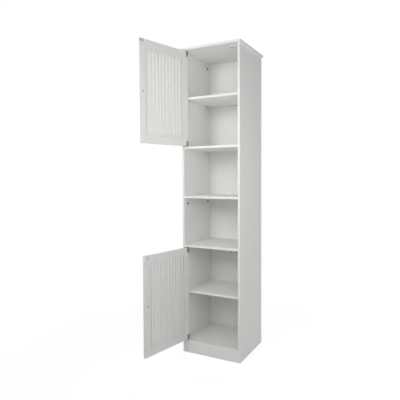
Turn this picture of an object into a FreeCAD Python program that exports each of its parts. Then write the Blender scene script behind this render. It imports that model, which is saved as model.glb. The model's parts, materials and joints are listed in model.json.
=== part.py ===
import FreeCAD, Part
import math
import os

# Tall linen cabinet of painted boards with two slatted doors, two open bays and two adjustable shelves.
# Millimetres, +Z up, front towards -Y. The origin is on the floor, at the middle of the front plane.

# Carcass
carcass_width = 352.0
carcass_depth = 315.0
side_thickness = 12.0
shelf_thickness = 12.0
top_thickness = 12.0
top_side_overhang = 10.0
top_front_overhang = 13.0
top_rear_overhang = 3.0
top_edge_radius = 2.0
board_edge_radius = 0.8
plinth_height = 58.0
plinth_thickness = 12.0
door_opening_height = 528.0
open_bay_height = 263.0

# Back panels, held in grooves of the sides
back_thickness = 3.0
back_inset = 8.0
back_groove_depth = 6.0
back_groove_clearance = 0.1
back_tongue_gap = 0.5
back_top_gap = 0.3
shelf_back_gap = 0.2

# Adjustable shelves and their pins
adjustable_thickness = 12.0
adjustable_swing_clearance = 0.6
adjustable_end_gap = 1.0
adjustable_back_gap = 0.5
pin_radius = 2.5
pin_wall_depth = 8.0
pin_hole_gap = 1.0
pin_clearance = 0.05
pin_pad_length = 9.0
pin_pad_width = 8.0
pin_pad_thickness = 3.0
pin_row_pitch = 67.0
lower_pin_height = 264.0
upper_pin_height = 261.0
pin_front_inset = 53.0
pin_rear_inset = 52.0

# Dowels
dowel_radius = 3.0
dowel_end_depth = 16.0
dowel_skin = 4.0
dowel_end_gap = 0.3
dowel_clearance = 0.05
head_dowel_inset = 90.0
foot_dowel_inset = 115.0
shelf_dowel_inset = 110.0
plinth_dowel_inset = 90.0
plinth_front_dowel_inset = 70.0

# Cam locks and their bolts
cam_radius = 7.4
cam_clearance = 0.1
cam_skin = 2.0
cam_setback = 32.0
cam_slot_length = 8.0
cam_slot_width = 1.6
cam_slot_depth = 1.2
bolt_head_radius = 3.0
bolt_head_length = 4.0
bolt_shank_radius = 2.0
bolt_thread_radius = 2.5
bolt_skin = 4.0
bolt_clearance = 0.3
bolt_fit = 0.05
cam_front_inset = 38.0
cam_rear_inset = 38.0
shelf_cam_front_inset = 70.0
shelf_cam_rear_inset = 60.0

# Screws
side_screw_head_radius = 4.0
side_screw_radius = 2.0
side_screw_bite = 28.0
side_screw_front_inset = 60.0
side_screw_rear_inset = 55.0
small_screw_head_radius = 2.4
small_screw_radius = 1.2
small_screw_bite = 8.0
screw_fit = 0.05

# Doors
door_thickness = 15.0
door_end_gap = 3.0
hinge_edge_gap = 2.5
free_edge_gap = 2.0
stile_width = 39.0
rail_width = 40.0
frame_edge_radius = 0.8
tenon_length = 20.0
tenon_thickness = 5.0
tenon_shoulder = 8.0
tenon_clearance = 0.1
slat_count = 11
slat_gap = 4.0
slat_thickness = 5.4
slat_edge_radius = 1.5
slat_recess = 0.5
slat_bed_gap = 0.1
slat_end_gap = 0.2
lip_width = 13.0
tongue_thickness = 2.4
tongue_length = 7.0
rail_groove_depth = 7.5
rail_groove_clearance = 0.1
upper_door_opening_angle = 106.5
lower_door_opening_angle = 101.6

# Corner pivots
pivot_from_edge = 7.0
pivot_from_front = 6.0
pivot_pin_radius = 2.0
pivot_pin_engagement = 7.0
pivot_pin_fit = 0.02
pivot_run_clearance = 0.05
pivot_thrust_gap = 0.3
bracket_thickness = 1.2
bracket_leaf_width = 12.0
bracket_leaf_height = 28.0
bracket_arm_length = 26.0
bracket_front_setback = 1.0
bracket_screw_spacing = 13.0
bush_wall = 1.5
bush_flange_width = 1.5
bush_length = 8.0
bush_fit = 0.05

# Magnetic catches and the plates that meet them
catch_length = 45.0
catch_depth = 16.0
catch_height = 13.0
catch_from_side = 30.0
catch_corner_radius = 1.5
catch_screw_inset = 6.0
catch_wall = 2.0
magnet_length = 26.0
magnet_thickness = 5.0
magnet_clearance = 0.1
pole_thickness = 1.2
pole_stand_out = 0.5
strike_gap = 0.3
strike_long_side = 25.0
strike_short_side = 15.0
strike_thickness = 1.0
upper_strike_edge_inset = 1.0
lower_strike_edge_inset = 13.0
strike_end_inset = 0.5

# Knobs and their screws
knob_radius = 9.0
knob_base_radius = 6.0
knob_neck_radius = 4.5
knob_base_length = 1.5
knob_cove_length = 1.0
knob_neck_length = 3.5
knob_flare_length = 3.5
knob_rim_thickness = 1.5
knob_crown = 2.0
knob_edge_inset = 21.0
knob_screw_radius = 2.0
knob_screw_head_radius = 4.0
knob_screw_head_length = 2.6
knob_screw_recess = 2.8
knob_screw_recess_clearance = 0.3
knob_screw_bite = 8.0
knob_screw_fit = 0.05
knob_screw_end_gap = 1.0
knob_screw_slot_width = 1.2
knob_screw_slot_depth = 1.0

# Shared overrun of cutting tools
cut_overrun = 1.0

# Levels, worked out from the floor up
bottom_z = plinth_height
bottom_top_z = bottom_z + shelf_thickness
lower_shelf_z = bottom_top_z + door_opening_height
lower_shelf_top_z = lower_shelf_z + shelf_thickness
middle_z = lower_shelf_top_z + open_bay_height
middle_top_z = middle_z + shelf_thickness
upper_shelf_z = middle_top_z + open_bay_height
upper_shelf_top_z = upper_shelf_z + shelf_thickness
top_z = upper_shelf_top_z + door_opening_height

# Planes of the carcass
right_x = carcass_width / 2
left_x = -right_x
inner_right_x = right_x - side_thickness
inner_left_x = -inner_right_x
back_front_y = carcass_depth - back_inset - back_thickness
shelf_rear_y = back_front_y - shelf_back_gap
side_middle_x = right_x - side_thickness / 2

# Door sizes that follow the opening
door_width = inner_right_x - inner_left_x - hinge_edge_gap - free_edge_gap
door_height = door_opening_height - 2 * door_end_gap
hinge_edge_x = inner_left_x + hinge_edge_gap
free_edge_x = hinge_edge_x + door_width
pivot_x = hinge_edge_x + pivot_from_edge
pivot_y = pivot_from_front
slat_middle_y = door_thickness - slat_recess - slat_thickness / 2
rebate_floor_y = slat_middle_y - slat_thickness / 2 - slat_bed_gap

# The loose shelves stand back far enough for the doors' hinge corners to turn in front of them
hinge_corner_swing = math.hypot(pivot_from_edge, door_thickness - pivot_from_front)
adjustable_front_y = pivot_y + hinge_corner_swing + adjustable_swing_clearance

ALONG_X = FreeCAD.Vector(1, 0, 0)
ALONG_Y = FreeCAD.Vector(0, 1, 0)
ALONG_Z = FreeCAD.Vector(0, 0, 1)
FULL_TURN = 360

pieces = {}
cutters = {}


def point(x, y, z):
    return FreeCAD.Vector(x, y, z)


def block(x_span, y_span, z_span):
    low = point(min(x_span), min(y_span), min(z_span))
    high = point(max(x_span), max(y_span), max(z_span))
    return Part.makeBox(high.x - low.x, high.y - low.y, high.z - low.z, low)


def rod(radius, start, along, length):
    return Part.makeCylinder(radius, length, start, along)


def tube(outer_radius, bore_radius, start, along, length):
    return rod(outer_radius, start, along, length).cut(rod(bore_radius, start, along, length))


def one_solid(shape):
    return shape.removeSplitter().Solids[0]


def join(first, *others):
    return one_solid(first.fuse(list(others)))


def rounded(solid, radius, is_chosen):
    edges = [edge for edge in solid.Edges if is_chosen(edge)]
    return one_solid(solid.makeFillet(radius, edges))


def eased(board, radius):
    # The long arrises of a board are softened a little
    longest = max(edge.Length for edge in board.Edges)
    return rounded(board, radius, lambda edge: edge.Length > longest - radius)


def eased_board(board):
    return eased(board, board_edge_radius)


def add(node, *solids):
    pieces.setdefault(node, []).extend(solids)


def cut_later(tool, *nodes):
    for node in nodes:
        cutters.setdefault(node, []).append(tool)


def screw(head_radius, shank_radius, length, start, along, fit=0.0):
    # A countersunk screw whose head is flush at its start; a fit makes the hole that takes it
    head_length = head_radius - shank_radius
    head = Part.makeCone(head_radius + fit, shank_radius + fit, head_length, start, along)
    return join(head, rod(shank_radius + fit, start, along, length))


def fasten(node, head_radius, shank_radius, length, start, along, *boards):
    add(node, screw(head_radius, shank_radius, length, start, along))
    cut_later(screw(head_radius, shank_radius, length, start, along, screw_fit), *boards)


def small_screw(node, plate_thickness, start, along, *boards):
    length = plate_thickness + small_screw_bite
    fasten(node, small_screw_head_radius, small_screw_radius, length, start, along, *boards)


def dowel(end_board, face_board, face_thickness, place, along):
    # place is on the joint, and along points from the end board into the face board
    face_depth = face_thickness - dowel_skin
    start = place - along * dowel_end_depth
    length = dowel_end_depth + face_depth
    add("dowels", rod(dowel_radius, start, along, length))
    hole_start = start - along * dowel_end_gap
    hole = rod(dowel_radius + dowel_clearance, hole_start, along, length + 2 * dowel_end_gap)
    cut_later(hole, end_board, face_board)


def cam_joint(end_board, end_thickness, face_board, face_thickness, place, along, cam_side):
    # The cam turns in the end board, open on its cam_side, and pulls a bolt that is set in the face board
    centre = place - along * cam_setback
    shown = centre + cam_side * (end_thickness / 2)
    cam_depth = end_thickness - cam_skin
    half_head = along * (bolt_head_length / 2)
    head = rod(bolt_head_radius, centre - half_head, along, bolt_head_length)
    shank = rod(bolt_shank_radius, centre, along, cam_setback)
    thread = rod(bolt_thread_radius, place, along, face_thickness - bolt_skin)
    add("cam_bolts", join(head, shank, thread))
    thread_hole = rod(bolt_thread_radius + bolt_fit, place, along, face_thickness - bolt_skin + bolt_fit)
    cut_later(thread_hole, face_board)
    bolt_room_start = centre - half_head - along * bolt_clearance
    bolt_room_length = cam_setback + bolt_head_length / 2 + bolt_clearance
    bolt_room = rod(bolt_head_radius + bolt_clearance, bolt_room_start, along, bolt_room_length)
    cut_later(bolt_room, end_board)
    cut_later(rod(cam_radius + cam_clearance, shown, -cam_side, cam_depth), end_board)
    cam = rod(cam_radius, shown, -cam_side, cam_depth - cam_clearance)
    across = along.cross(cam_side)
    slots = [slot_tool(shown, cam_side, line) for line in (along, across)]
    add("cam_locks", one_solid(cam.cut([bolt_room] + slots)))


def slot_tool(shown, outward, line):
    # A screwdriver slot, sunk from the shown face of a cam along one line
    width_way = outward.cross(line)
    corner = shown - line * (cam_slot_length / 2) - width_way * (cam_slot_width / 2)
    outline = [
        corner,
        corner + line * cam_slot_length,
        corner + line * cam_slot_length + width_way * cam_slot_width,
        corner + width_way * cam_slot_width,
        corner,
    ]
    return Part.Face(Part.makePolygon(outline)).extrude(-outward * cam_slot_depth)


# Boards
def make_top_panel():
    panel = block(
        (left_x - top_side_overhang, right_x + top_side_overhang),
        (-top_front_overhang, carcass_depth + top_rear_overhang),
        (top_z, top_z + top_thickness),
    )
    upper_half_z = top_z + top_thickness / 2
    panel = rounded(panel, top_edge_radius, lambda edge: edge.BoundBox.ZMin > upper_half_z)
    add("top_panel", panel)


def make_carcass_boards():
    depth = (0, carcass_depth)
    full_width = (left_x, right_x)
    add("bottom_panel", eased_board(block(full_width, depth, (bottom_z, bottom_top_z))))
    add("middle_panel", eased_board(block(full_width, depth, (middle_z, middle_top_z))))
    between = (inner_left_x, inner_right_x)
    shelf_y = (0, shelf_rear_y)
    add("lower_fixed_shelf", eased_board(block(between, shelf_y, (lower_shelf_z, lower_shelf_top_z))))
    add("upper_fixed_shelf", eased_board(block(between, shelf_y, (upper_shelf_z, upper_shelf_top_z))))
    for module, z_span in (("lower", (bottom_top_z, middle_z)), ("upper", (middle_top_z, top_z))):
        add(f"left_side_{module}", eased_board(block((left_x, inner_left_x), depth, z_span)))
        add(f"right_side_{module}", eased_board(block((inner_right_x, right_x), depth, z_span)))
        make_back_panel(module, z_span)


def make_back_panel(module, z_span):
    reach = inner_right_x + back_groove_depth
    y_span = (back_front_y, back_front_y + back_thickness)
    tongue = reach - back_tongue_gap
    add(f"{module}_back_panel", block((-tongue, tongue), y_span, (z_span[0], z_span[1] - back_top_gap)))
    groove_y = (y_span[0] - back_groove_clearance, y_span[1] + back_groove_clearance)
    groove = block((-reach, reach), groove_y, z_span)
    cut_later(groove, f"left_side_{module}", f"right_side_{module}")


def make_plinth():
    z_span = (0, plinth_height)
    y_span = (plinth_thickness, carcass_depth)
    inner = right_x - plinth_thickness
    add("plinth_front", block((left_x, right_x), (0, plinth_thickness), z_span))
    add("plinth_left", block((left_x, -inner), y_span, z_span))
    add("plinth_right", block((inner, right_x), y_span, z_span))
    add("plinth_rear", block((-inner, inner), (carcass_depth - plinth_thickness, carcass_depth), z_span))


def join_plinth():
    middle = right_x - plinth_thickness / 2
    half_height = plinth_height / 2
    rear_y = carcass_depth - plinth_thickness / 2
    for side, name in ((-1, "plinth_left"), (1, "plinth_right")):
        front_joint = point(side * middle, plinth_thickness, half_height)
        dowel(name, "plinth_front", plinth_thickness, front_joint, -ALONG_Y)
        rear_joint = point(side * (right_x - plinth_thickness), rear_y, half_height)
        dowel("plinth_rear", name, plinth_thickness, rear_joint, ALONG_X * side)
        for y in (plinth_dowel_inset, carcass_depth - plinth_dowel_inset):
            dowel(name, "bottom_panel", shelf_thickness, point(side * middle, y, bottom_z), ALONG_Z)
        front_x = side * (right_x - plinth_front_dowel_inset)
        front_top = point(front_x, plinth_thickness / 2, bottom_z)
        dowel("plinth_front", "bottom_panel", shelf_thickness, front_top, ALONG_Z)


def join_sides():
    modules = (
        ("lower", "bottom_panel", bottom_top_z, "middle_panel", middle_z, shelf_thickness),
        ("upper", "middle_panel", middle_top_z, "top_panel", top_z, top_thickness),
    )
    for module, foot_panel, foot_z, head_panel, head_z, head_thickness in modules:
        for side, hand in ((-1, "left"), (1, "right")):
            board = f"{hand}_side_{module}"
            x = side * side_middle_x
            inward = ALONG_X * -side
            for y in (cam_front_inset, carcass_depth - cam_rear_inset):
                place = point(x, y, head_z)
                cam_joint(board, side_thickness, head_panel, head_thickness, place, ALONG_Z, inward)
            for y in (head_dowel_inset, carcass_depth - head_dowel_inset):
                dowel(board, head_panel, head_thickness, point(x, y, head_z), ALONG_Z)
            for y in (foot_dowel_inset, carcass_depth - foot_dowel_inset):
                dowel(board, foot_panel, shelf_thickness, point(x, y, foot_z), -ALONG_Z)
            for y in (side_screw_front_inset, carcass_depth - side_screw_rear_inset):
                start = point(x, y, foot_z - shelf_thickness)
                length = shelf_thickness + side_screw_bite
                fasten("side_screws", side_screw_head_radius, side_screw_radius, length, start, ALONG_Z,
                       board, foot_panel)


def join_fixed_shelves():
    # The cams are on the hidden faces: below the lower shelf and above the upper one
    shelves = (("lower", lower_shelf_z, -ALONG_Z), ("upper", upper_shelf_z, ALONG_Z))
    for module, shelf_z, cam_side in shelves:
        shelf = f"{module}_fixed_shelf"
        z = shelf_z + shelf_thickness / 2
        for side, hand in ((-1, "left"), (1, "right")):
            board = f"{hand}_side_{module}"
            outward = ALONG_X * side
            for y in (shelf_cam_front_inset, shelf_rear_y - shelf_cam_rear_inset):
                place = point(side * inner_right_x, y, z)
                cam_joint(shelf, shelf_thickness, board, side_thickness, place, outward, cam_side)
            for y in (shelf_dowel_inset, shelf_rear_y - shelf_dowel_inset):
                dowel(shelf, board, side_thickness, point(side * inner_right_x, y, z), outward)


def make_adjustable_shelf(module, opening_z, pin_height):
    pin_z = opening_z + pin_height
    shelf_z = pin_z + pin_radius
    x_reach = inner_right_x - adjustable_end_gap
    y_span = (adjustable_front_y, back_front_y - adjustable_back_gap)
    z_span = (shelf_z, shelf_z + adjustable_thickness)
    add(f"{module}_adjustable_shelf", eased_board(block((-x_reach, x_reach), y_span, z_span)))
    for side, hand in ((-1, "left"), (1, "right")):
        outward = ALONG_X * side
        for y in (pin_front_inset, carcass_depth - pin_rear_inset):
            for row in (-1, 0, 1):
                mouth = point(side * inner_right_x, y, pin_z + row * pin_row_pitch)
                hole = rod(pin_radius + pin_clearance, mouth, outward, pin_wall_depth + pin_hole_gap)
                cut_later(hole, f"{hand}_side_{module}")
            seat = point(side * inner_right_x, y, pin_z)
            shaft = rod(pin_radius, seat, outward, pin_wall_depth)
            pad = block(
                (seat.x, seat.x - side * pin_pad_length),
                (y - pin_pad_width / 2, y + pin_pad_width / 2),
                (shelf_z - pin_pad_thickness, shelf_z),
            )
            add("shelf_pins", join(shaft, pad))


# Corner pivots: bushes in the boards above and below each door
def make_bushes(lower_board, lower_z, upper_board, upper_z):
    bore_radius = pivot_pin_radius + pivot_run_clearance
    body_radius = bore_radius + bush_wall
    flange_thickness = door_end_gap - bracket_thickness - pivot_thrust_gap
    for board, z, into in ((lower_board, lower_z, -ALONG_Z), (upper_board, upper_z, ALONG_Z)):
        mouth = point(pivot_x, pivot_y, z)
        body = tube(body_radius, bore_radius, mouth, into, bush_length)
        flange = tube(body_radius + bush_flange_width, bore_radius, mouth, -into, flange_thickness)
        add("pivot_bushes", join(body, flange))
        cut_later(rod(body_radius + bush_fit, mouth, into, bush_length), board)


# Magnetic catches, hung from the board above each door
def make_catch(module, ceiling_board, ceiling_z):
    middle_x = inner_right_x - catch_from_side
    poles_y = door_thickness + strike_thickness + strike_gap
    front_y = poles_y + pole_stand_out
    housing = f"{module}_catch_housing"
    body = block(
        (middle_x - catch_length / 2, middle_x + catch_length / 2),
        (front_y, front_y + catch_depth),
        (ceiling_z - catch_height, ceiling_z),
    )
    magnet_z = ceiling_z - catch_height / 2
    body = rounded(body, catch_corner_radius, lambda edge: edge.BoundBox.ZMax < magnet_z)
    add(housing, body)
    magnet_x = (middle_x - magnet_length / 2, middle_x + magnet_length / 2)
    magnet_y = (front_y, front_y + catch_depth - catch_wall)
    half_magnet = magnet_thickness / 2
    magnet = block(magnet_x, magnet_y, (magnet_z - half_magnet, magnet_z + half_magnet))
    add(f"{module}_catch_magnet", magnet)
    for way in (-1, 1):
        near = magnet_z + way * half_magnet
        add("catch_pole_plates", block(magnet_x, (poles_y, magnet_y[1]), (near, near + way * pole_thickness)))
    half_pocket = half_magnet + pole_thickness + magnet_clearance
    pocket = block(
        (magnet_x[0] - magnet_clearance, magnet_x[1] + magnet_clearance),
        (front_y - cut_overrun, magnet_y[1]),
        (magnet_z - half_pocket, magnet_z + half_pocket),
    )
    cut_later(pocket, housing)
    screw_reach = catch_length / 2 - catch_screw_inset
    for x in (middle_x - screw_reach, middle_x + screw_reach):
        start = point(x, front_y + catch_depth / 2, ceiling_z - catch_height)
        small_screw("catch_screws", catch_height, start, ALONG_Z, housing, ceiling_board)


# Doors, drawn closed and then swung open about their pivots
def make_door_frame(door, low_z):
    high_z = low_z + door_height
    y_span = (0, door_thickness)
    z_span = (low_z, high_z)
    panel_x = (hinge_edge_x + stile_width, free_edge_x - stile_width)
    panel_z = (low_z + rail_width, high_z - rail_width)
    rail_x = (panel_x[0] + lip_width, panel_x[1] - lip_width)
    hinge_stile = f"{door}_hinge_stile"
    free_stile = f"{door}_free_stile"
    add(hinge_stile, eased(block((hinge_edge_x, rail_x[0]), y_span, z_span), frame_edge_radius))
    add(free_stile, eased(block((rail_x[1], free_edge_x), y_span, z_span), frame_edge_radius))
    # The slats lie in a rebate of the frame, in front of a lip that runs all round the opening
    rebate = block(panel_x, (rebate_floor_y, door_thickness), panel_z)
    cut_later(rebate, hinge_stile, free_stile)
    middle_y = door_thickness / 2
    half_tenon = tenon_thickness / 2
    half_groove = tongue_thickness / 2 + rail_groove_clearance
    tenon_y = (middle_y - half_tenon, middle_y + half_tenon)
    groove_y = (slat_middle_y - half_groove, slat_middle_y + half_groove)
    room = tenon_clearance
    for name, outer_z, inner_z, inward in (("bottom", low_z, panel_z[0], 1), ("top", high_z, panel_z[1], -1)):
        rail = f"{door}_{name}_rail"
        body = eased(block(rail_x, y_span, (outer_z, inner_z + inward * lip_width)), frame_edge_radius)
        tenon_z = sorted((outer_z + inward * tenon_shoulder, inner_z - inward * tenon_shoulder))
        tenon = block((rail_x[0] - tenon_length, rail_x[1] + tenon_length), tenon_y, tenon_z)
        add(rail, join(body, tenon))
        mortise = block(
            (rail_x[0] - tenon_length - room, rail_x[1] + tenon_length + room),
            (tenon_y[0] - room, tenon_y[1] + room),
            (tenon_z[0] - room, tenon_z[1] + room),
        )
        cut_later(mortise, hinge_stile, free_stile)
        groove = block(panel_x, groove_y, (inner_z, inner_z - inward * rail_groove_depth))
        cut_later(groove, rail, hinge_stile, free_stile)
        cut_later(rebate, rail)
    make_slats(door, panel_x, panel_z)


def make_slats(door, panel_x, panel_z):
    slat_width = (panel_x[1] - panel_x[0] - (slat_count + 1) * slat_gap) / slat_count
    half_slat = slat_thickness / 2
    half_tongue = tongue_thickness / 2
    for number in range(slat_count):
        start_x = panel_x[0] + slat_gap + number * (slat_width + slat_gap)
        x_span = (start_x, start_x + slat_width)
        z_span = (panel_z[0] + slat_end_gap, panel_z[1] - slat_end_gap)
        body = block(x_span, (slat_middle_y - half_slat, slat_middle_y + half_slat), z_span)
        body = rounded(body, slat_edge_radius, lambda edge: edge.BoundBox.ZLength > slat_width)
        tongue_x = (x_span[0] + slat_edge_radius, x_span[1] - slat_edge_radius)
        tongue_y = (slat_middle_y - half_tongue, slat_middle_y + half_tongue)
        tongue_z = (panel_z[0] - rail_groove_depth, panel_z[1] + tongue_length)
        add(f"{door}_slats", join(body, block(tongue_x, tongue_y, tongue_z)))


def make_door_pivots(door, low_z):
    stile = f"{door}_hinge_stile"
    leaf_y = (door_thickness, door_thickness + bracket_thickness)
    brackets = f"{door}_pivot_brackets"
    made = []
    for end_z, way in ((low_z, -1), (low_z + door_height, 1)):
        outer_z = end_z + way * bracket_thickness
        leaf_end = end_z - way * bracket_leaf_height
        leaf = block((hinge_edge_x, hinge_edge_x + bracket_leaf_width), leaf_y, (leaf_end, outer_z))
        arm_y = (bracket_front_setback, leaf_y[1])
        arm = block((hinge_edge_x, hinge_edge_x + bracket_arm_length), arm_y, (end_z, outer_z))
        root = point(pivot_x, pivot_y, end_z)
        outward = ALONG_Z * way
        hole = rod(pivot_pin_radius + pivot_pin_fit, root, outward, bracket_thickness)
        made.append(one_solid(leaf.fuse(arm).cut(hole)))
        pin_length = door_end_gap + pivot_pin_engagement
        add(f"{door}_pivot_pins", rod(pivot_pin_radius, root, outward, pin_length))
        screw_x = hinge_edge_x + bracket_leaf_width / 2
        first_z = end_z - way * (bracket_leaf_height - bracket_screw_spacing) / 2
        for z in (first_z, first_z - way * bracket_screw_spacing):
            small_screw(f"{door}_bracket_screws", bracket_thickness, point(screw_x, leaf_y[1], z), -ALONG_Y,
                        brackets, stile)
    add(brackets, *made)


def make_strike(door, low_z, x_size, z_size, edge_inset):
    high_z = low_z + door_height - strike_end_inset
    x_span = (free_edge_x - edge_inset - x_size, free_edge_x - edge_inset)
    y_span = (door_thickness, door_thickness + strike_thickness)
    strike = f"{door}_strike_plate"
    add(strike, block(x_span, y_span, (high_z - z_size, high_z)))
    start = point(sum(x_span) / 2, y_span[1], high_z - z_size / 2)
    small_screw(f"{door}_strike_screw", strike_thickness, start, -ALONG_Y, strike, f"{door}_free_stile")


def make_knob(door, low_z):
    # A turned knob: base, cove, neck, flare and rim, under a shallow dome
    steps = (
        (knob_base_radius, 0),
        (knob_base_radius, knob_base_length),
        (knob_neck_radius, knob_cove_length),
        (knob_neck_radius, knob_neck_length),
        (knob_radius, knob_flare_length),
        (knob_radius, knob_rim_thickness),
    )
    outline = [point(0, 0, 0)]
    reach = 0
    for radius, length in steps:
        reach += length
        outline.append(point(radius, -reach, 0))
    peak = point(0, -reach - knob_crown, 0)
    dome_radius = (knob_radius ** 2 + knob_crown ** 2) / (2 * knob_crown)
    half_angle = math.asin(knob_radius / dome_radius) / 2
    dome_drop = dome_radius * (1 - math.cos(half_angle))
    shoulder = point(dome_radius * math.sin(half_angle), peak.y + dome_drop, 0)
    edges = [Part.makeLine(start, end) for start, end in zip(outline, outline[1:])]
    edges.append(Part.Arc(outline[-1], shoulder, peak).toShape())
    edges.append(Part.makeLine(peak, outline[0]))
    knob = Part.Face(Part.Wire(edges)).revolve(outline[0], ALONG_Y, FULL_TURN)
    x = free_edge_x - knob_edge_inset
    z = low_z + door_height / 2
    knob.translate(point(x, 0, z))
    add(f"{door}_knob", one_solid(knob))
    make_knob_screw(door, x, z)


def make_knob_screw(door, x, z):
    seat_y = door_thickness - knob_screw_recess
    seat = point(x, seat_y, z)
    head = rod(knob_screw_head_radius, seat, ALONG_Y, knob_screw_head_length)
    slot_top = seat_y + knob_screw_head_length
    slot = block(
        (x - knob_screw_head_radius, x + knob_screw_head_radius),
        (slot_top - knob_screw_slot_depth, slot_top),
        (z - knob_screw_slot_width / 2, z + knob_screw_slot_width / 2),
    )
    shank_length = seat_y + knob_screw_bite
    shank = rod(knob_screw_radius, seat, -ALONG_Y, shank_length)
    add(f"{door}_knob_screw", one_solid(head.cut(slot).fuse(shank)))
    hole_length = shank_length + knob_screw_end_gap
    cut_later(rod(knob_screw_radius + knob_screw_fit, seat, -ALONG_Y, hole_length),
              f"{door}_knob", f"{door}_free_stile")
    recess_radius = knob_screw_head_radius + knob_screw_recess_clearance
    cut_later(rod(recess_radius, seat, ALONG_Y, knob_screw_recess), f"{door}_free_stile")


def make_door(door, opening_z, strike_x, strike_z, edge_inset):
    low_z = opening_z + door_end_gap
    make_door_frame(door, low_z)
    make_door_pivots(door, low_z)
    make_strike(door, low_z, strike_x, strike_z, edge_inset)
    make_knob(door, low_z)


def swing(shape, angle):
    turned = shape.copy()
    turned.rotate(point(pivot_x, pivot_y, 0), ALONG_Z, -angle)
    return turned


def finished(node):
    tools = cutters.get(node, [])
    solids = pieces[node]
    if tools:
        solids = [one_solid(solid.cut(tools)) for solid in solids]
    for door, angle in (("upper_door", upper_door_opening_angle), ("lower_door", lower_door_opening_angle)):
        if node.startswith(door):
            solids = [swing(solid, angle) for solid in solids]
    return solids


make_top_panel()
make_carcass_boards()
make_plinth()
join_plinth()
join_sides()
join_fixed_shelves()
make_adjustable_shelf("upper", upper_shelf_top_z, upper_pin_height)
make_adjustable_shelf("lower", bottom_top_z, lower_pin_height)
make_bushes("bottom_panel", bottom_top_z, "lower_fixed_shelf", lower_shelf_z)
make_bushes("upper_fixed_shelf", upper_shelf_top_z, "top_panel", top_z)
make_catch("upper", "top_panel", top_z)
make_catch("lower", "lower_fixed_shelf", lower_shelf_z)
make_door("upper_door", upper_shelf_top_z, strike_long_side, strike_short_side, upper_strike_edge_inset)
make_door("lower_door", bottom_top_z, strike_short_side, strike_long_side, lower_strike_edge_inset)

os.makedirs("parts", exist_ok=True)
for node in pieces:
    solids = finished(node)
    shape = solids[0] if len(solids) == 1 else Part.makeCompound(solids)
    shape.exportStep(f"parts/{node}.step")
    volume = sum(solid.Volume for solid in solids)
    print(node, len(solids), "solids, volume", round(volume), "valid", shape.isValid())
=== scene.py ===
import json
import math

import bpy
from mathutils import Matrix, Vector

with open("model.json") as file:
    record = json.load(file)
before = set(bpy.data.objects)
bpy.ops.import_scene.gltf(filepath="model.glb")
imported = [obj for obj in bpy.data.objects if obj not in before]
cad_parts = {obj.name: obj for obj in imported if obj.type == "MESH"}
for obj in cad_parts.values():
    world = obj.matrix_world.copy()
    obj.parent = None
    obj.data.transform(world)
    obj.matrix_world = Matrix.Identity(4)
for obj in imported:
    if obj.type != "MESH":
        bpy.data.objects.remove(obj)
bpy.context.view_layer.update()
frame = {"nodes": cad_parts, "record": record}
nodes = frame["nodes"]

# Lengths are in metres, angles in degrees, lamp powers in watts and colours in linear RGB

WHITE = (0.925, 0.92, 0.905)
BEECH = (0.62, 0.44, 0.26)
BARE_CORE = (0.16, 0.10, 0.06)

# A side panel's surface within both spans is the wall of a drilled hole and not a painted face
HOLE_FROM_MIDDLE = (0.1644, 0.1756)
HOLE_FROM_FRONT = (0.0015, 0.3135)

# How the tool's lines or the grain run: a small number stretches the noise along that axis
EVEN = (1, 1, 1)
UPRIGHT_LINES = (1, 1, 0.05)
LEVEL_LINES = (0.05, 0.05, 1)
UPRIGHT_GRAIN = (1, 1, 0.06)

# The part of a noise's range that is spread over a value
NOISE_LOW, NOISE_HIGH = 0.25, 0.75

# The camera, fitted to the photo's edges, with focal length and shift in the photo's pixels
PHOTO_WIDTH = 400
SENSOR_WIDTH = 36.0
FOCAL_LENGTH = 402.981
SHIFT_X, SHIFT_Y = -20.64, -9.19
CAMERA_PLACE = (1.03109, -1.92780, 0.98888)
CAMERA_YAW, CAMERA_PITCH, CAMERA_ROLL = 26.6485, 1.9211, -0.1738

# Name, place, point that it is turned to, side of the square, power and beam
WIDE = 180
LAMPS = (
    ("front_left", (-0.24, -1.4, 1.5), (0, 0.1, 1.2), 0.6, 4.2, WIDE),
    ("front_low", (-0.3, -1.2, 1.0), (0, 0.1, 1.1), 0.5, 1.0, WIDE),
    ("front_far", (-0.3, -2.6, 1.9), (0, 0.1, 1.45), 0.6, 0.7, 50),
    ("left_high", (-0.5, -1.3, 2.0), (0.1, 0.1, 0.4), 0.5, 0.56, 60),
    ("from_floor", (0.2, -0.9, 0.25), (0, 0.15, 1.69), 0.4, 0.24, 50),
    ("near_right", (0.9, -0.6, 1.1), (0, 0.1, 1.1), 0.5, 2.0, WIDE),
    ("camera_side", (1.1, -2.2, 1.7), (0, 0.1, 0.95), 1.0, 6.7, WIDE),
    ("far_right", (3.0, -1.0, 1.5), (0, 0.1, 0.95), 1.5, 5.8, WIDE),
    ("low_right", (2.0, 0.6, 0.5), (0.2, 0.16, 0.7), 1.0, 4.0, WIDE),
    ("behind_doors", (-1.9, -0.1, 2.3), (-0.2, -0.15, 1.6), 0.9, 4.2, 70),
    ("behind", (-0.6, 2.4, 2.3), (-0.1, 0.1, 1.0), 1.2, 18, WIDE),
)
AMBIENT = 0.22

FLOOR_REACH = 6.0
FLOOR_DROP = 0.0005
FLOOR_GREY = 0.8
FLOOR_GLOW = 0.83
FLOOR_SHADOW_GREY = 0.3
FLOOR_FADE = (0.4, 1.3)


def grey(level):
    return (level, level, level, 1)


def shade(colour, factor):
    return tuple(channel * factor for channel in colour)


# Nodes

def add_node(tree, kind, inputs=None, **settings):
    node = tree.nodes.new(kind)
    for key, value in settings.items():
        setattr(node, key, value)
    for key, value in (inputs or {}).items():
        node.inputs[key].default_value = value
    return node


def math_node(tree, operation, first, second):
    """Both values may be sockets, and the second one may also be a number."""
    node = add_node(tree, "ShaderNodeMath", operation=operation)
    tree.links.new(first, node.inputs[0])
    if isinstance(second, bpy.types.NodeSocket):
        tree.links.new(second, node.inputs[1])
    else:
        node.inputs[1].default_value = second
    return node.outputs[0]


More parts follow.
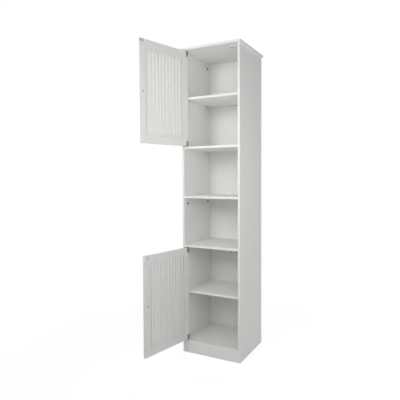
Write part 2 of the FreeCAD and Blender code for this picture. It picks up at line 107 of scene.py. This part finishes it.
def object_place(tree):
    return add_node(tree, "ShaderNodeTexCoord").outputs["Object"]


def noise(tree, source, scale, detail=2.0, roughness=0.5):
    values = {"Scale": scale, "Detail": detail, "Roughness": roughness}
    node = add_node(tree, "ShaderNodeTexNoise", values)
    tree.links.new(source, node.inputs["Vector"])
    return node.outputs["Fac"]


def stretched(tree, source, scale):
    node = add_node(tree, "ShaderNodeMapping", {"Scale": scale})
    tree.links.new(source, node.inputs["Vector"])
    return node.outputs["Vector"]


def ramp(tree, source, low, high, low_at=0.3, high_at=0.7):
    node = add_node(tree, "ShaderNodeValToRGB")
    for stop, place, colour in zip(node.color_ramp.elements, (low_at, high_at), (low, high)):
        stop.position = place
        stop.color = (*colour, 1)
    tree.links.new(source, node.inputs["Fac"])
    return node.outputs["Color"]


def spread(tree, source, middle, by):
    values = {
        "From Min": NOISE_LOW,
        "From Max": NOISE_HIGH,
        "To Min": middle - by,
        "To Max": middle + by,
    }
    node = add_node(tree, "ShaderNodeMapRange", values)
    tree.links.new(source, node.inputs["Value"])
    return node.outputs["Result"]


def bump(tree, source, strength, distance, below=None):
    node = add_node(tree, "ShaderNodeBump", {"Strength": strength, "Distance": distance})
    tree.links.new(source, node.inputs["Height"])
    if below is not None:
        tree.links.new(below, node.inputs["Normal"])
    return node.outputs["Normal"]


def within(tree, source, low, high):
    above = math_node(tree, "GREATER_THAN", source, low)
    below = math_node(tree, "LESS_THAN", source, high)
    return math_node(tree, "MULTIPLY", above, below)


def blended(tree, factor, first, second):
    mix = add_node(tree, "ShaderNodeMixShader")
    tree.links.new(factor, mix.inputs["Fac"])
    tree.links.new(first.outputs[0], mix.inputs[1])
    tree.links.new(second.outputs[0], mix.inputs[2])
    return mix


def seen(tree):
    """One where the camera, a mirror or a glass looks, and zero for the light that is given."""
    path = add_node(tree, "ShaderNodeLightPath").outputs
    direct = math_node(tree, "MAXIMUM", path["Is Camera Ray"], path["Is Glossy Ray"])
    return math_node(tree, "MAXIMUM", direct, path["Is Transmission Ray"])


# Materials

def new_material(name):
    mat = bpy.data.materials.new(name)
    mat.use_nodes = True
    tree = mat.node_tree
    return mat, tree, tree.nodes["Principled BSDF"]


def painted(name, colour, rough):
    """Sprayed satin paint on smooth board: faintly cloudy, with orange peel and an uneven sheen."""
    mat, tree, shader = new_material(name)
    where = object_place(tree)
    cloud = noise(tree, where, scale=5.0, detail=3.0)
    clouded = ramp(tree, cloud, shade(colour, factor=0.985), colour)
    tree.links.new(clouded, shader.inputs["Base Color"])
    sheen = noise(tree, where, scale=23.0)
    tree.links.new(spread(tree, sheen, rough, by=0.04), shader.inputs["Roughness"])
    peel = bump(tree, noise(tree, where, scale=420.0), strength=0.05, distance=0.0004)
    swell = noise(tree, where, scale=34.0, detail=1.0)
    waves = bump(tree, swell, strength=0.03, distance=0.0015, below=peel)
    tree.links.new(waves, shader.inputs["Normal"])
    shader.inputs["Specular IOR Level"].default_value = 0.35
    return mat


def drilled(name, colour, rough, core):
    """The same paint on the side panels, with the bare core showing inside their drilled holes."""
    mat = painted(name, colour, rough)
    tree = mat.node_tree
    base = tree.nodes["Principled BSDF"].inputs["Base Color"]
    where = object_place(tree)
    apart = add_node(tree, "ShaderNodeSeparateXYZ")
    tree.links.new(where, apart.inputs[0])
    from_middle = add_node(tree, "ShaderNodeMath", operation="ABSOLUTE")
    tree.links.new(apart.outputs["X"], from_middle.inputs[0])
    across = within(tree, from_middle.outputs[0], *HOLE_FROM_MIDDLE)
    along = within(tree, apart.outputs["Y"], *HOLE_FROM_FRONT)
    fibre = noise(tree, where, scale=1200.0, detail=3.0)
    blend = add_node(tree, "ShaderNodeMixRGB")
    tree.links.new(math_node(tree, "MULTIPLY", across, along), blend.inputs["Fac"])
    tree.links.new(base.links[0].from_socket, blend.inputs["Color1"])
    tree.links.new(ramp(tree, fibre, shade(core, factor=0.6), core), blend.inputs["Color2"])
    tree.links.new(blend.outputs[0], base)
    return mat


def metal(name, colour, rough, lines=EVEN):
    """Worked metal: fine lines of the tool, and a slightly uneven shine."""
    mat, tree, shader = new_material(name)
    where = object_place(tree)
    grain = noise(tree, stretched(tree, where, lines), scale=900.0, detail=3.0, roughness=0.6)
    patch = noise(tree, where, scale=60.0)
    patched = ramp(tree, patch, shade(colour, factor=0.86), colour)
    tree.links.new(patched, shader.inputs["Base Color"])
    tree.links.new(spread(tree, grain, rough, by=0.08), shader.inputs["Roughness"])
    tree.links.new(bump(tree, grain, strength=0.12, distance=0.0002), shader.inputs["Normal"])
    shader.inputs["Metallic"].default_value = 1.0
    return mat


def plastic(name, colour, rough):
    """Moulded plastic with a fine spark-eroded grain."""
    mat, tree, shader = new_material(name)
    where = object_place(tree)
    patch = noise(tree, where, scale=45.0)
    patched = ramp(tree, patch, shade(colour, factor=0.96), colour)
    tree.links.new(patched, shader.inputs["Base Color"])
    grain = noise(tree, where, scale=1500.0)
    tree.links.new(spread(tree, grain, rough, by=0.06), shader.inputs["Roughness"])
    tree.links.new(bump(tree, grain, strength=0.1, distance=0.0002), shader.inputs["Normal"])
    return mat


def bare_wood(name, colour):
    """Turned beech: pale fibres along the grain with short dark flecks."""
    mat, tree, shader = new_material(name)
    along = stretched(tree, object_place(tree), UPRIGHT_GRAIN)
    fibre = noise(tree, along, scale=700.0, detail=4.0, roughness=0.6)
    flecked = ramp(tree, fibre, shade(colour, factor=0.75), colour)
    tree.links.new(flecked, shader.inputs["Base Color"])
    tree.links.new(bump(tree, fibre, strength=0.2, distance=0.0003), shader.inputs["Normal"])
    shader.inputs["Roughness"].default_value = 0.7
    return mat


# By the slots of the record, and by name for the nodes that differ from their slot
finishes = {
    "white_paint": painted("white_satin_paint", WHITE, rough=0.52),
    "back_board_paint": painted("white_faced_board", WHITE, rough=0.55),
    "bare_wood": bare_wood("bare_beech", BEECH),
    "catch_plastic": plastic("pale_moulding", (0.60, 0.60, 0.67), rough=0.5),
    "magnet_nickel": metal("nickel_plate", (0.57, 0.57, 0.62), rough=0.35),
    "bush_plastic": plastic("nylon_bush", (0.70, 0.70, 0.66), rough=0.45),
    "zinc_alloy": metal("dark_cast_zinc", (0.10, 0.10, 0.095), rough=0.5),
    "bracket_steel": metal("dark_bracket_steel", (0.33, 0.33, 0.28), 0.5, UPRIGHT_LINES),
    "strike_steel": metal("blue_grey_steel", (0.42, 0.47, 0.51), 0.4, UPRIGHT_LINES),
    "knob_metal": metal("satin_nickel", (0.62, 0.61, 0.58), 0.3, LEVEL_LINES),
    "plated_steel": metal("zinc_plate", (0.55, 0.55, 0.54), rough=0.35),
}
side_paint = drilled("white_paint_on_drilled_board", WHITE, 0.52, BARE_CORE)
own_finish = {name: side_paint for name in nodes if "_side_" in name}
# Painted shade: the lower catch is the same part as the upper one, and its housing and magnet get
# darker copies of that plastic and nickel for the shade it sits in
own_finish["lower_catch_housing"] = plastic("pale_moulding_painted_shade", (0.30, 0.31, 0.30), rough=0.5)
own_finish["lower_catch_magnet"] = metal("nickel_plate_painted_shade", (0.32, 0.33, 0.34), rough=0.4)
slot_of = {part["node"]: part["material_slot"] for part in frame["record"]["subparts"]}
for name, obj in nodes.items():
    obj.data.materials.clear()
    obj.data.materials.append(own_finish.get(name, finishes[slot_of[name]]))


# Camera

def view_matrix(place, *angles):
    """From looking along +Y, turned left by yaw, then down by pitch, then rolled."""
    yaw, pitch, roll = (math.radians(angle) for angle in angles)
    up = Vector((0, 0, 1))
    ahead = Vector((-math.sin(yaw), math.cos(yaw), 0))
    right = Vector((math.cos(yaw), math.sin(yaw), 0))
    look = ahead * math.cos(pitch) - up * math.sin(pitch)
    top = up * math.cos(pitch) + ahead * math.sin(pitch)
    across = right * math.cos(roll) + top * math.sin(roll)
    above = top * math.cos(roll) - right * math.sin(roll)
    turn = Matrix((across, above, -look)).transposed().to_4x4()
    return Matrix.Translation(place) @ turn


camera = bpy.data.objects.new("camera", bpy.data.cameras.new("camera"))
bpy.context.collection.objects.link(camera)
camera.data.sensor_width = SENSOR_WIDTH
camera.data.lens = FOCAL_LENGTH / PHOTO_WIDTH * SENSOR_WIDTH
camera.data.shift_x = SHIFT_X / PHOTO_WIDTH
camera.data.shift_y = SHIFT_Y / PHOTO_WIDTH
camera.matrix_world = view_matrix(CAMERA_PLACE, CAMERA_YAW, CAMERA_PITCH, CAMERA_ROLL)
bpy.context.scene.camera = camera


# Light

def area_light(name, place, target, side, power, beam):
    lamp = bpy.data.lights.new(name, "AREA")
    lamp.shape = "RECTANGLE"
    lamp.size = lamp.size_y = side
    lamp.energy = power
    lamp.spread = math.radians(beam)
    obj = bpy.data.objects.new(name, lamp)
    obj.location = place
    obj.rotation_euler = (Vector(target) - Vector(place)).to_track_quat("-Z", "Y").to_euler()
    obj.visible_camera = False
    bpy.context.collection.objects.link(obj)


def make_world():
    """White to look at, with less light on the object."""
    world = bpy.data.worlds.new("studio")
    bpy.context.scene.world = world
    world.use_nodes = True
    tree = world.node_tree
    tree.nodes.clear()
    given, shown = (
        add_node(tree, "ShaderNodeBackground", {"Color": grey(1), "Strength": strength})
        for strength in (AMBIENT, 1.0)
    )
    surface = blended(tree, seen(tree), given, shown)
    output = add_node(tree, "ShaderNodeOutputWorld")
    tree.links.new(surface.outputs[0], output.inputs["Surface"])


for lamp_values in LAMPS:
    area_light(*lamp_values)
make_world()


# Floor

def near_object(tree, start, end):
    """One by the object and zero far off, so that the floor fades into the white behind it."""
    away = add_node(tree, "ShaderNodeVectorMath", operation="LENGTH")
    tree.links.new(object_place(tree), away.inputs[0])
    values = {"From Min": start, "From Max": end, "To Min": 1.0, "To Max": 0.0}
    fade = add_node(tree, "ShaderNodeMapRange", values, interpolation_type="SMOOTHSTEP")
    tree.links.new(away.outputs["Value"], fade.inputs["Value"])
    return fade.outputs["Result"]


def floor_material():
    """To look at, a glow with the object's shadow in it, and a plain pale floor for the light."""
    mat, tree, lit = new_material("pale_floor")
    lit.inputs["Base Color"].default_value = grey(FLOOR_GREY)
    lit.inputs["Roughness"].default_value = 0.9
    lit.inputs["Specular IOR Level"].default_value = 0.0
    white = add_node(tree, "ShaderNodeEmission", {"Strength": 1.0})
    glow = add_node(tree, "ShaderNodeEmission", {"Strength": FLOOR_GLOW})
    shadow = add_node(tree, "ShaderNodeBsdfDiffuse", {"Color": grey(FLOOR_SHADOW_GREY)})
    shaded = add_node(tree, "ShaderNodeAddShader")
    tree.links.new(glow.outputs[0], shaded.inputs[0])
    tree.links.new(shadow.outputs[0], shaded.inputs[1])
    shown = blended(tree, near_object(tree, *FLOOR_FADE), white, shaded)
    surface = blended(tree, seen(tree), lit, shown)
    tree.links.new(surface.outputs[0], tree.nodes["Material Output"].inputs["Surface"])
    return mat


def make_floor():
    mesh = bpy.data.meshes.new("floor")
    turns = ((-1, -1), (1, -1), (1, 1), (-1, 1))
    corners = [(x * FLOOR_REACH, y * FLOOR_REACH, 0) for x, y in turns]
    mesh.from_pydata(corners, [], [(0, 1, 2, 3)])
    floor = bpy.data.objects.new("floor", mesh)
    floor.location.z = -FLOOR_DROP
    bpy.context.collection.objects.link(floor)
    mesh.materials.append(floor_material())


make_floor()

bpy.context.scene.view_settings.view_transform = "Standard"
